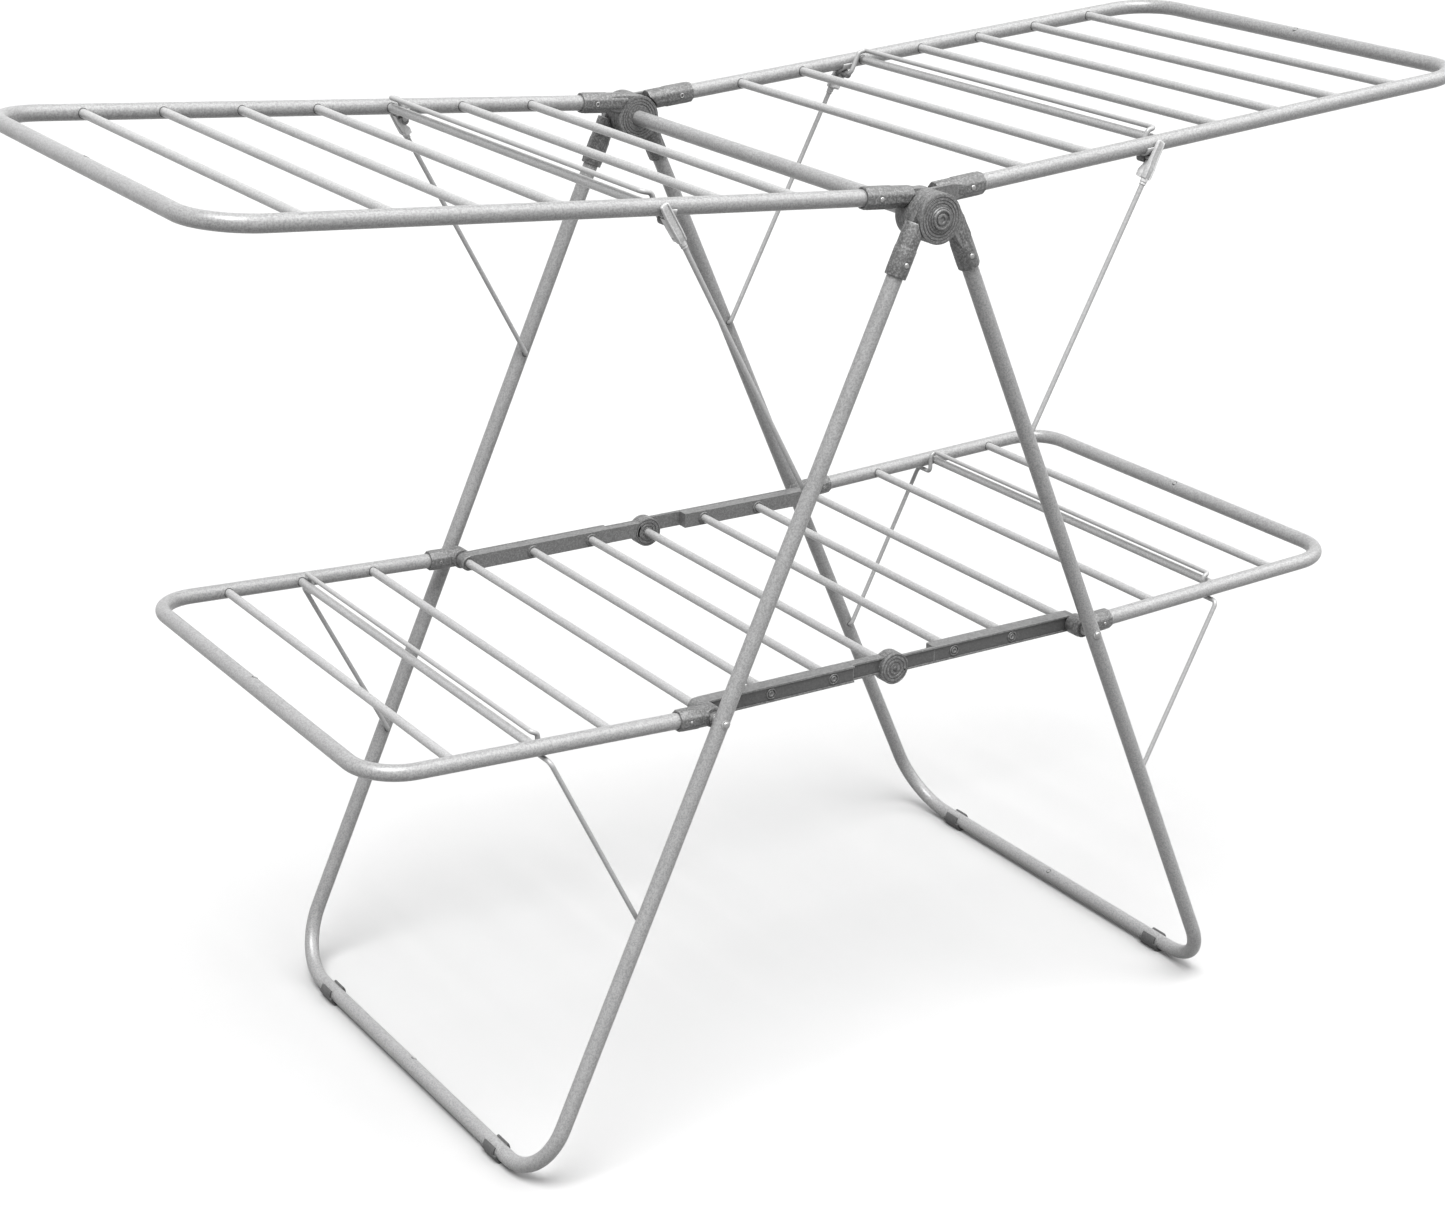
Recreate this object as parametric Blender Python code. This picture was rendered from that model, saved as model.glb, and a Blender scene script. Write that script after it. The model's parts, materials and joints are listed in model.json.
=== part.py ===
"""Folding two-tier clothes drying rack, in metres: X along the wings, Y across the rack, Z up, floor at Z = 0."""

import math

import bpy
import bmesh
from mathutils import Vector

TUBE_RADIUS = 0.008
TUBE_BORE = 0.0069
BAR_RADIUS = 0.0045
BAR_BORE = 0.0037
WIRE_RADIUS = 0.0025
GAP = 0.0003

HUB_Z = 0.922
LEG_TILT = math.radians(24.37)
LEG_OFFSET = 0.0184
LEG_Y = 0.280
LEG_START = 0.0250
LEG_END = 1.0086
LEG_BEND = 0.060

WING_RISE = math.radians(4.28)
WING_OFFSET = 0.0157
WING_Y = 0.2585
WING_START = 0.0270
WING_END = 0.7135
WING_BEND = 0.055
WING_BARS = [0.1321 + 0.0811 * step for step in range(7)]

LOWER_RISE = math.radians(2.47)
LOWER_START = 0.0145
LOWER_END = 0.3577
LOWER_BEND = 0.046
LOWER_BARS = [0.1065 + 0.0832 * step for step in range(3)]

PIVOT_X = 0.2279
PIVOT_Z = 0.4635
CENTRE_Z = 0.4590
CENTRE_RADIUS = 0.0165
ARM_BARS = [0.1487, 0.0745]
ARM_OUTER = 0.2470
ARM_INNER = 0.2310
ARM_SPLIT = 0.2428
ARM_HALF = 0.0085
PIN_END = 0.2905

SLEEVE_HALF = 0.0105
SLEEVE_BORE = TUBE_RADIUS + GAP
DISC_RADIUS = 0.024
DISCS = {
    "leg_right": (0.2834, 0.2898),
    "leg_left": (0.2766, 0.2831),
    "wing_right": (0.2631, 0.2763),
    "wing_left": (0.2500, 0.2628),
}

TOP_HOLE_Z = 0.6755
LOWER_HOLE_Z = 0.2712
TOP_BRACE = [(0.2721, 0.9455), (0.2800, 0.9665), (0.2924, 0.9692)]
LOWER_BRACE = [(0.4085, 0.4557), (0.4085, 0.4790), (0.4177, 0.4844)]
BRACE_Y = 0.2456
BRACE_FOOT_Y = 0.2660
BRACE_SLANT = 0.08
FOOT_Y = 0.190
FOOT_HALF = 0.0150
SIDES = (("left", -1), ("right", 1))
ENDS = (("front", -1), ("back", 1))


def clear_scene():
    for obj in list(bpy.data.objects):
        bpy.data.objects.remove(obj, do_unlink=True)


def make_object(name, points, faces):
    mesh = bpy.data.meshes.new(name)
    mesh.from_pydata([tuple(point) for point in points], [], faces)
    shape = bmesh.new()
    shape.from_mesh(mesh)
    bmesh.ops.recalc_face_normals(shape, faces=shape.faces)
    shape.to_mesh(mesh)
    shape.free()
    obj = bpy.data.objects.new(name, mesh)
    bpy.context.scene.collection.objects.link(obj)
    return obj


def rings_along(path, normal, radius, sides):
    """One ring of points at each point of a path that lies in the plane with this normal."""
    rings = []
    last = len(path) - 1
    for index, point in enumerate(path):
        before = path[max(index - 1, 0)]
        after = path[min(index + 1, last)]
        tangent = (after - before).normalized()
        across = tangent.cross(normal).normalized()
        stretch = 1.0
        if 0 < index < last:
            turn = (point - before).angle(after - point)
            stretch = 1.0 / math.cos(turn / 2)
        ring = []
        for step in range(sides):
            angle = 2 * math.pi * (step + 0.5) / sides
            offset = across * math.cos(angle) * stretch + normal * math.sin(angle)
            ring.append(point + offset * radius)
        rings.append(ring)
    return rings


def skin(first, count, sides):
    """Quads joining consecutive rings whose points start at index first."""
    faces = []
    for ring in range(count - 1):
        for step in range(sides):
            following = (step + 1) % sides
            low = first + ring * sides
            high = low + sides
            faces.append((low + step, low + following, high + following, high + step))
    return faces


def rod(name, path, normal, radius, sides=12):
    rings = rings_along(path, normal, radius, sides)
    points = [point for ring in rings for point in ring]
    faces = skin(0, len(rings), sides)
    faces.append(tuple(range(sides)))
    faces.append(tuple(range(len(points) - sides, len(points))))
    return make_object(name, points, faces)


def tube(name, path, normal, radius=TUBE_RADIUS, bore=TUBE_BORE, sides=12):
    """A round tube with open ends."""
    outer = rings_along(path, normal, radius, sides)
    inner = rings_along(path, normal, bore, sides)
    points = [point for ring in outer + inner for point in ring]
    count = len(outer)
    start = count * sides
    faces = skin(0, count, sides) + skin(start, count, sides)
    for ring in (0, count - 1):
        for step in range(sides):
            following = (step + 1) % sides
            low = ring * sides
            high = start + ring * sides
            faces.append((low + step, low + following, high + following, high + step))
    return make_object(name, points, faces)


def straight_rod(name, x, z, low_y, high_y, radius, sides=12):
    path = [Vector((x, low_y, z)), Vector((x, high_y, z))]
    return rod(name, path, Vector((1, 0, 0)), radius, sides)


def straight_bar(name, x, z, reach):
    """A hollow crossbar, centred across the rack."""
    path = [Vector((x, -reach, z)), Vector((x, reach, z))]
    return tube(name, path, Vector((1, 0, 0)), BAR_RADIUS, BAR_BORE)


def extrude(name, outline, low_y, high_y):
    """A prism along Y over an outline of (x, z) points."""
    count = len(outline)
    points = [Vector((x, low_y, z)) for x, z in outline]
    points += [Vector((x, high_y, z)) for x, z in outline]
    faces = [tuple(range(count)), tuple(range(count, 2 * count))]
    for step in range(count):
        following = (step + 1) % count
        faces.append((step, following, count + following, count + step))
    return make_object(name, points, faces)


def join_meshes(name, pieces):
    """One object that holds the meshes of several, which are removed."""
    shape = bmesh.new()
    for piece in pieces:
        shape.from_mesh(piece.data)
    mesh = bpy.data.meshes.new(name)
    shape.to_mesh(mesh)
    shape.free()
    for piece in pieces:
        bpy.data.objects.remove(piece, do_unlink=True)
    obj = bpy.data.objects.new(name, mesh)
    bpy.context.scene.collection.objects.link(obj)
    return obj


def combine(target, tools, operation):
    """Cuts or joins helper meshes, which touch one another nowhere, with one Boolean."""
    helper = join_meshes(target.name + "_" + operation.lower(), tools)
    helper.hide_render = True
    helper.display_type = "WIRE"
    boolean = target.modifiers.new(operation.lower(), "BOOLEAN")
    boolean.operation = operation
    boolean.solver = "EXACT"
    boolean.object = helper


def rounded_path(corners, radius, steps=6):
    """The corners joined by straight runs, each inner corner replaced by an arc."""
    path = [corners[0]]
    for before, corner, after in zip(corners, corners[1:], corners[2:]):
        incoming = (corner - before).normalized()
        outgoing = (after - corner).normalized()
        turn = incoming.angle(outgoing)
        reach = radius * math.tan(turn / 2)
        start = corner - incoming * reach
        middle = start + (outgoing - incoming * math.cos(turn)).normalized() * radius
        arm = start - middle
        for step in range(steps + 1):
            angle = turn * step / steps
            path.append(middle + arm * math.cos(angle) + incoming * radius * math.sin(angle))
    path.append(corners[-1])
    return path


def leg_point(side, along, y, aside=0.0):
    x = along * math.sin(LEG_TILT) + (LEG_OFFSET + aside) * math.cos(LEG_TILT)
    z = HUB_Z - along * math.cos(LEG_TILT) + (LEG_OFFSET + aside) * math.sin(LEG_TILT)
    return Vector((side * x, y, z))


def wing_point(side, along, y, aside=0.0):
    x = along * math.cos(WING_RISE) - (WING_OFFSET + aside) * math.sin(WING_RISE)
    z = HUB_Z + along * math.sin(WING_RISE) + (WING_OFFSET + aside) * math.cos(WING_RISE)
    return Vector((side * x, y, z))


def lower_point(side, along, y, aside=0.0):
    x = PIVOT_X + along * math.cos(LOWER_RISE) - aside * math.sin(LOWER_RISE)
    z = PIVOT_Z + along * math.sin(LOWER_RISE) + aside * math.cos(LOWER_RISE)
    return Vector((side * x, y, z))


def plane_normal(place, side):
    """The normal of the plane that one of the three placing functions fills."""
    run = place(side, 1.0, 0.0) - place(side, 0.0, 0.0)
    return run.cross(Vector((0, 1, 0))).normalized()


def hole_cutters(name, spots, inner_y, outer_y, radius):
    cutters = []
    for index, spot in enumerate(spots):
        for end_name, end in ENDS:
            low_y, high_y = sorted((end * inner_y, end * outer_y))
            label = f"{name}_hole_{index}_{end_name}"
            cutters.append(straight_rod(label, spot[0], spot[1], low_y, high_y, radius))
    return cutters


def u_frame(name, place, side, start, end, half_width, bend):
    corners = [
        place(side, start, -half_width),
        place(side, end, -half_width),
        place(side, end, half_width),
        place(side, start, half_width),
    ]
    return tube(name, rounded_path(corners, bend), plane_normal(place, side))


def on_leg(side, height):
    """The (x, z) point of a leg's centre line at this height."""
    along = (HUB_Z + LEG_OFFSET * math.sin(LEG_TILT) - height) / math.cos(LEG_TILT)
    point = leg_point(side, along, 0.0)
    return point.x, point.z


def leg_frame(side_name, side):
    name = "leg_frame_" + side_name
    frame = u_frame(name, leg_point, side, LEG_START, LEG_END, LEG_Y, LEG_BEND)
    pivot = [(side * PIVOT_X, PIVOT_Z)]
    wires = [on_leg(side, TOP_HOLE_Z), on_leg(side, LOWER_HOLE_Z)]
    cutters = hole_cutters(name, pivot, 0.26, 0.30, BAR_RADIUS + GAP)
    cutters += hole_cutters(name + "_wire", wires, 0.26, LEG_Y, WIRE_RADIUS + GAP)
    combine(frame, cutters, "DIFFERENCE")


def top_wing(side_name, side):
    name = "top_wing_" + side_name
    frame = u_frame(name, wing_point, side, WING_START, WING_END, WING_Y, WING_BEND)
    spots = []
    for index, along in enumerate(WING_BARS):
        point = wing_point(side, along, 0.0)
        spots.append((point.x, point.z))
        bar = f"top_bar_{side_name}_{index + 1}"
        straight_bar(bar, point.x, point.z, WING_Y)
    combine(frame, hole_cutters(name, spots, 0.24, WING_Y, BAR_RADIUS + GAP), "DIFFERENCE")


def lower_wing(side_name, side):
    name = "lower_wing_" + side_name
    frame = u_frame(name, lower_point, side, LOWER_START, LOWER_END, WING_Y, LOWER_BEND)
    bars = []
    for index, along in enumerate(LOWER_BARS):
        point = lower_point(side, along, 0.0)
        reach = WING_Y - (TUBE_RADIUS + TUBE_BORE) / 2
        bars.append(straight_rod(f"{name}_{index}", point.x, point.z, -reach, reach, BAR_RADIUS))
    combine(frame, bars, "UNION")


def octagon(centre, half):
    """The corners of an octagon as (across, along Y) pairs."""
    cut = half * 0.42
    across = (half, half, cut, -cut, -half, -half, -cut, cut)
    along_y = (-cut, cut, half, half, cut, -cut, -half, -half)
    return [(a, centre + b) for a, b in zip(across, along_y)]


def sleeve(name, place, side, low, high, centre_y, half):
    """An eight-sided bar along one of the placing functions."""
    points = []
    for along in (low, high):
        points += [place(side, along, y, aside) for aside, y in octagon(centre_y, half)]
    faces = [tuple(range(8)), tuple(range(8, 16))]
    for step in range(8):
        following = (step + 1) % 8
        faces.append((step, following, 8 + following, 8 + step))
    return make_object(name, points, faces)


def placed_rod(name, place, side, low, high, y, radius, sides):
    path = [place(side, low, y), place(side, high, y)]
    return rod(name, path, plane_normal(place, side), radius, sides)


def neck_outline(place, side, offset, high):
    """The outline that joins a hub disc to the foot of its sleeve."""
    spots = [(0.0, 0.004 - offset), (high, -SLEEVE_HALF), (high, SLEEVE_HALF), (0.0, 0.0)]
    points = [place(side, along, 0.0, aside) for along, aside in spots]
    return [(point.x, point.z) for point in points]


def hub_socket(kind, side_name, side, end_name, end):
    name = f"hub_{kind}_{side_name}_{end_name}"
    place, offset, centre, reach, start = leg_point, LEG_OFFSET, LEG_Y, 0.064, LEG_START
    if kind == "wing":
        place, offset, centre, reach, start = wing_point, WING_OFFSET, WING_Y, 0.0695, WING_START
    low_y, high_y = sorted(end * y for y in DISCS[f"{kind}_{side_name}"])
    disc = straight_rod(name, 0.0, HUB_Z, low_y, high_y, DISC_RADIUS, 24)
    spans = [abs(low_y), abs(high_y), centre + SLEEVE_HALF]
    far_y = min(max(spans[:2]) - 0.0006, spans[2] - 0.0004 if kind == "wing" else 1.0)
    low_y, high_y = sorted((end * (min(spans[:2]) + 0.0006), end * far_y))
    neck = neck_outline(place, side, offset, 0.032)
    combine(disc, [extrude(name + "_neck", neck, low_y, high_y)], "UNION")
    body = sleeve(name + "_sleeve", place, side, 0.0245, reach, end * centre, SLEEVE_HALF)
    combine_again(disc, body, "UNION")
    bore = placed_rod(name + "_bore", place, side, start - 0.001, reach + 0.01, end * centre, SLEEVE_BORE, 12)
    combine_again(disc, bore, "DIFFERENCE")
    axle = straight_rod(name + "_axle", 0.0, HUB_Z, low_y - 0.02, high_y + 0.02, SLEEVE_BORE)
    combine_again(disc, axle, "DIFFERENCE")


def combine_again(target, helper, operation):
    helper.hide_render = True
    helper.display_type = "WIRE"
    boolean = target.modifiers.new(helper.name, "BOOLEAN")
    boolean.operation = operation
    boolean.solver = "EXACT"
    boolean.object = helper


def hub_axle():
    path = [Vector((0, -0.2896, HUB_Z)), Vector((0, 0.2896, HUB_Z))]
    tube("hub_axle_tube", path, Vector((1, 0, 0)))
    for end_name, end in ENDS:
        name = "hub_cap_" + end_name
        low_y, high_y = sorted((end * 0.2901, end * 0.2933))
        cap = straight_rod(name, 0.0, HUB_Z, low_y, high_y, 0.0115, 24)
        low_y, high_y = sorted((end * 0.2750, end * 0.2908))
        stem = straight_rod(name + "_stem", 0.0, HUB_Z, low_y, high_y, 0.0062, 16)
        combine_again(cap, stem, "UNION")


def connector(side_name, side, end_name, end):
    name = f"connector_{side_name}_{end_name}"
    low_y, high_y = sorted((end * (ARM_OUTER + GAP), end * 0.2714))
    barrel = straight_rod(name, side * PIVOT_X, PIVOT_Z, low_y, high_y, 0.0108, 20)
    body = sleeve(name + "_sleeve", lower_point, side, 0.002, 0.037, end * WING_Y, SLEEVE_HALF)
    combine_again(barrel, body, "UNION")
    bore = placed_rod(name + "_bore", lower_point, side, LOWER_START - 0.001, 0.06, end * WING_Y, SLEEVE_BORE, 12)
    combine_again(barrel, bore, "DIFFERENCE")
    pin = straight_rod(name + "_pin", side * PIVOT_X, PIVOT_Z, low_y - 0.01, high_y + 0.01, BAR_RADIUS + GAP)
    combine_again(barrel, pin, "DIFFERENCE")


def arm_outline(side, inner_x, outer_x):
    """The side view of an arm between two distances from the middle."""
    rows = [(inner_x, -ARM_HALF), (outer_x, -ARM_HALF), (outer_x, ARM_HALF), (inner_x, ARM_HALF)]
    return [(side * x, PIVOT_Z + z) for x, z in rows]


def centre_arm(side_name, side, end_name, end):
    """The right arm ends in a thin plate and the left arm in a thick one, side by side at the middle hinge."""
    name = f"arm_{side_name}_{end_name}"
    low, high = (ARM_INNER, ARM_SPLIT - GAP) if side < 0 else (ARM_SPLIT, ARM_OUTER)
    low_y, high_y = sorted((end * low, end * high))
    arm = straight_rod(name, 0.0, CENTRE_Z, low_y, high_y, CENTRE_RADIUS, 28)
    plate = extrude(name + "_plate", arm_outline(side, 0.004, 0.150), low_y, high_y)
    combine_again(arm, plate, "UNION")
    low_y, high_y = sorted((end * ARM_INNER, end * ARM_OUTER))
    beam = extrude(name + "_beam", arm_outline(side, 0.098, PIVOT_X), low_y, high_y)
    combine_again(arm, beam, "UNION")
    tip = straight_rod(name + "_tip", side * PIVOT_X, PIVOT_Z, low_y, high_y, ARM_HALF, 20)
    combine_again(arm, tip, "UNION")
    low_y, high_y = sorted((end * (ARM_INNER + 0.003), end * (ARM_OUTER - 0.003)))
    groove_x = (0.104, 0.138, 0.160, PIVOT_X - 0.012)
    grooves = []
    for index in (0, 2):
        outline = arm_outline(side, groove_x[index], groove_x[index + 1])
        outline = [(x, z - 0.003) for x, z in outline]
        grooves.append(extrude(f"{name}_groove_{index}", outline, low_y, high_y))
    combine(arm, grooves, "DIFFERENCE")
    spots = [(side * x, PIVOT_Z) for x in ARM_BARS + [PIVOT_X]]
    if side < 0:
        spots.append((0.0, CENTRE_Z))
    pins = []
    for index, (x, z) in enumerate(spots):
        low_y, high_y = sorted((end * 0.22, end * 0.26))
        pins.append(straight_rod(f"{name}_pin_{index}", x, z, low_y, high_y, BAR_RADIUS + GAP))
    helper = join_meshes(name + "_pins", pins)
    combine_again(arm, helper, "DIFFERENCE")


def centre_bars():
    for side_name, side in SIDES:
        straight_rod(f"pivot_bar_{side_name}", side * PIVOT_X, PIVOT_Z, -PIN_END, PIN_END, BAR_RADIUS)
        for index, x in enumerate(ARM_BARS):
            reach = ARM_OUTER - 0.0005
            straight_bar(f"centre_bar_{side_name}_{index + 1}", side * x, PIVOT_Z, reach)
    reach = ARM_SPLIT - 2 * GAP
    straight_bar("centre_bar_middle", 0.0, CENTRE_Z, reach)


def brace(tier, side_name, side):
    hole_z, knees = (TOP_HOLE_Z, TOP_BRACE) if tier == "top" else (LOWER_HOLE_Z, LOWER_BRACE)
    hole_x = abs(on_leg(side, hole_z)[0])
    slant_x = hole_x + (knees[0][0] - hole_x) * BRACE_SLANT
    slant_z = hole_z + (knees[0][1] - hole_z) * BRACE_SLANT
    half = [
        Vector((side * hole_x, -0.2765, hole_z)),
        Vector((side * hole_x, -BRACE_FOOT_Y, hole_z)),
        Vector((side * slant_x, -BRACE_Y, slant_z)),
    ]
    half += [Vector((side * x, -BRACE_Y, z)) for x, z in knees]
    other = [Vector((point.x, -point.y, point.z)) for point in reversed(half)]
    path = bent_path(half + other, 0.006)
    wire = bpy.data.curves.new(f"brace_{tier}_{side_name}", "CURVE")
    wire.dimensions = "3D"
    wire.bevel_depth = WIRE_RADIUS
    wire.bevel_resolution = 2
    wire.use_fill_caps = True
    line = wire.splines.new("POLY")
    line.points.add(len(path) - 1)
    for point, place in zip(line.points, path):
        point.co = (place.x, place.y, place.z, 1.0)
    obj = bpy.data.objects.new(wire.name, wire)
    bpy.context.scene.collection.objects.link(obj)


def bent_path(corners, radius):
    """The corners joined by straight runs, with a short arc at each real turn."""
    path = [corners[0]]
    for before, corner, after in zip(corners, corners[1:], corners[2:]):
        turn = (corner - before).angle(after - corner)
        if turn < math.radians(25):
            path.append(corner)
        else:
            path += rounded_path([before, corner, after], radius, 4)[1:-1]
    path.append(corners[-1])
    return path


def wing_clip(side_name, side, end_name, end):
    """A saddle under the wing rail, with a tail beside the wire."""
    name = f"clip_{side_name}_{end_name}"
    along = (Vector((side * TOP_BRACE[0][0], 0, TOP_BRACE[0][1])) - Vector((0, 0, HUB_Z))).dot(
        plane_run(wing_point, side)
    )
    saddle = sleeve(name, wing_point, side, along - 0.011, along + 0.011, end * WING_Y, 0.0100)
    bore = placed_rod(name + "_bore", wing_point, side, along - 0.03, along + 0.03, end * WING_Y, SLEEVE_BORE, 12)
    combine_again(saddle, bore, "DIFFERENCE")
    top = []
    for spot, aside in ((along - 0.03, 0.003), (along + 0.03, 0.003), (along + 0.03, 0.03), (along - 0.03, 0.03)):
        point = wing_point(side, spot, 0.0, aside)
        top.append((point.x, point.z))
    low_y, high_y = sorted((end * 0.240, end * 0.275))
    combine_again(saddle, extrude(name + "_top", top, low_y, high_y), "DIFFERENCE")
    hole_x, hole_z = on_leg(side, TOP_HOLE_Z)
    foot = Vector((hole_x, 0, hole_z))
    knee = Vector((side * TOP_BRACE[0][0], 0, TOP_BRACE[0][1]))
    run = (foot - knee).normalized()
    across = Vector((run.z, 0, -run.x))
    tail = []
    for reach, wide in ((-0.001, -0.006), (0.020, -0.0035), (0.020, 0.0035), (-0.001, 0.006)):
        point = knee + run * reach + across * wide
        tail.append((point.x, point.z))
    low_y, high_y = sorted((end * (BRACE_Y + WIRE_RADIUS + 0.001), end * (WING_Y + 0.004)))
    combine_again(saddle, extrude(name + "_tail", tail, low_y, high_y), "UNION")


def plane_run(place, side):
    return (place(side, 1.0, 0.0) - place(side, 0.0, 0.0)).normalized()


def foot_outline(centre_x, centre_z):
    """The saddle's end view: a cradle that is flat underneath and open at the top."""
    inner = TUBE_RADIUS + GAP
    outer = inner + 0.0022
    bottom = 0.0
    points = [(centre_x - outer, centre_z + 0.001)]
    points.append((centre_x - outer, bottom + 0.004))
    points.append((centre_x - outer + 0.004, bottom))
    points.append((centre_x + outer - 0.004, bottom))
    points.append((centre_x + outer, bottom + 0.004))
    points.append((centre_x + outer, centre_z + 0.001))
    for step in range(13):
        angle = -math.pi * step / 12
        points.append((centre_x + inner * math.cos(angle), centre_z + inner * math.sin(angle)))
    return points


def foot(side_name, side, end_name, end):
    rail = leg_point(side, LEG_END, 0.0)
    name = f"foot_{side_name}_{end_name}"
    low_y = end * FOOT_Y - FOOT_HALF
    extrude(name, foot_outline(rail.x, rail.z), low_y, low_y + 2 * FOOT_HALF)


def build():
    clear_scene()
    hub_axle()
    centre_bars()
    for side_name, side in SIDES:
        leg_frame(side_name, side)
        top_wing(side_name, side)
        lower_wing(side_name, side)
        brace("top", side_name, side)
        brace("lower", side_name, side)
        for end_name, end in ENDS:
            hub_socket("leg", side_name, side, end_name, end)
            hub_socket("wing", side_name, side, end_name, end)
            connector(side_name, side, end_name, end)
            centre_arm(side_name, side, end_name, end)
            wing_clip(side_name, side, end_name, end)
            foot(side_name, side, end_name, end)


build()
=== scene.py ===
"""Looks of the folding clothes drying rack, in metres: X along the wings, Y across the rack, Z up."""

import json
import math

import bmesh
import bpy
from mathutils import Matrix, Vector


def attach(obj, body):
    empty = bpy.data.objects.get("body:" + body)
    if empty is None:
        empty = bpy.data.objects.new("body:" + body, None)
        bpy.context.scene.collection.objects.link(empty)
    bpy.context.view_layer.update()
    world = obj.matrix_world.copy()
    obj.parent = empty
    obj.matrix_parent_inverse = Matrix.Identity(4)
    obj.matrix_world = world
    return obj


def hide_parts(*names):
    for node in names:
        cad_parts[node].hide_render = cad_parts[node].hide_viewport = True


TUBE_RADIUS = 0.008
BAR_RADIUS = 0.0045
WIRE_RADIUS = 0.0025

HUB_Z = 0.922
LEG_TILT = math.radians(24.37)
LEG_OFFSET = 0.0184
LEG_Y = 0.280
LEG_START = 0.0250
LEG_END = 1.0086
LEG_BEND = 0.066

WING_RISE = math.radians(4.28)
WING_OFFSET = 0.0157
WING_Y = 0.2585
WING_START = 0.0270
WING_END = 0.7135
WING_BEND = 0.055
WING_BARS = [0.1321 + 0.0811 * step for step in range(7)]

LOWER_RISE = math.radians(2.47)
LOWER_START = 0.0145
LOWER_END = 0.3577
LOWER_BEND = 0.046
LOWER_BARS = [0.1065 + 0.0832 * step for step in range(3)]

PIVOT_X = 0.2279
PIVOT_Z = 0.4635
CENTRE_Z = 0.4590
ARM_BARS = [0.1487, 0.0745]
ARM_OUTER = 0.2470
ARM_INNER = 0.2310
ARM_SPLIT = 0.2428
ARM_HALF = 0.0085
ARM_LIP = 0.0017
ARM_RECESS = 0.0014
ARM_OVERLAP = 0.0500
TEE_END = 0.2668

SLEEVE_HALF = 0.0105
DISC_RADIUS = 0.024
HINGE_RADIUS = 0.0165
DISCS = {
    "leg_right": (0.2834, 0.2898),
    "leg_left": (0.2766, 0.2831),
    "wing_right": (0.2631, 0.2763),
    "wing_left": (0.2500, 0.2628),
}

TOP_HOLE_Z = 0.6755
LOWER_HOLE_Z = 0.2712
TOP_BRACE = [(0.2721, 0.9460), (0.2830, 0.9690), (0.2912, 0.9708)]
LEFT_TOP_BRACE = [(0.2786, 0.9465), (0.2860, 0.9690), (0.2962, 0.9715)]
LOWER_BRACE = [(0.4085, 0.4590), (0.4085, 0.4795), (0.4150, 0.4828)]
BRACE_Y = 0.2456
BRACE_OUTER_Y = 0.2691
FOOT_Y = 0.190
FOOT_HALF = 0.0150
FOOT_LIP_HALF = 0.0105
SIDES = (("left", -1), ("right", 1))
ENDS = (("front", -1), ("back", 1))

ACROSS = Vector((0, 1, 0))
SHARP_ANGLE = math.radians(38)

CAMERA_PLACE = (-1.5424, -2.3135, 1.5063)
CAMERA_YAW = 33.474
CAMERA_PITCH = 24.153
CAMERA_ROLL = 0.970
CAMERA_LENS = 68.97
CAMERA_SHIFT = (-0.0171, 0.1110)

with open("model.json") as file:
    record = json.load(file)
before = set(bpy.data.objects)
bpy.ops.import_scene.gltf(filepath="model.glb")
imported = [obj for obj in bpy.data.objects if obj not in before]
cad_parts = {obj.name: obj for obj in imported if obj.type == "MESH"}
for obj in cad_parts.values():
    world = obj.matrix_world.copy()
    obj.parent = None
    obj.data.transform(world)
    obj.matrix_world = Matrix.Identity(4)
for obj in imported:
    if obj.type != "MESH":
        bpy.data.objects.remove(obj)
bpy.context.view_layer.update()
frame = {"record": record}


# ---------------------------------------------------------------- materials


def nodes_of(name):
    material = bpy.data.materials.new(name)
    material.use_nodes = True
    tree = material.node_tree
    return material, tree, tree.nodes["Principled BSDF"]


def add_node(tree, kind, **values):
    """A node with its properties, or its inputs where no property has that name, set."""
    node = tree.nodes.new(kind)
    for key, value in values.items():
        if hasattr(node, key):
            setattr(node, key, value)
        else:
            node.inputs[key.replace("_", " ").title().replace("Of", "of")].default_value = value
    return node


def noise(tree, place, scale, detail=3.0, rough=0.55):
    node = add_node(tree, "ShaderNodeTexNoise", scale=scale, detail=detail, roughness=rough)
    tree.links.new(place, node.inputs["Vector"])
    return node.outputs["Fac"]


def ranged(tree, value, low_in, high_in, low_out, high_out):
    node = tree.nodes.new("ShaderNodeMapRange")
    tree.links.new(value, node.inputs["Value"])
    for key, number in zip(
        ("From Min", "From Max", "To Min", "To Max"), (low_in, high_in, low_out, high_out)
    ):
        node.inputs[key].default_value = number
    return node.outputs["Result"]


def product(tree, first, second, operation="MULTIPLY"):
    node = tree.nodes.new("ShaderNodeMath")
    node.operation = operation
    for socket, value in zip(node.inputs, (first, second)):
        if isinstance(value, (int, float)):
            socket.default_value = value
        else:
            tree.links.new(value, socket)
    return node.outputs["Value"]


def blended(tree, share, first, second):
    """A mix of two colours, each a tuple or a socket."""
    node = tree.nodes.new("ShaderNodeMix")
    node.data_type = "RGBA"
    tree.links.new(share, node.inputs["Factor"])
    for socket, value in ((node.inputs[6], first), (node.inputs[7], second)):
        if isinstance(value, tuple):
            socket.default_value = (*value, 1.0)
        else:
            tree.links.new(value, socket)
    return node.outputs[2]


def bumped(tree, heights, shader):
    """Bumps laid one on another: heights holds (socket, distance, strength)."""
    before = None
    for height, distance, strength in heights:
        node = tree.nodes.new("ShaderNodeBump")
        node.inputs["Distance"].default_value = distance
        node.inputs["Strength"].default_value = strength
        tree.links.new(height, node.inputs["Height"])
        if before is not None:
            tree.links.new(before, node.inputs["Normal"])
        before = node.outputs["Normal"]
    tree.links.new(before, shader.inputs["Normal"])


def grey(level, warm=0.0):
    return (level * (1 + warm), level, level * (1 - warm))


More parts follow.
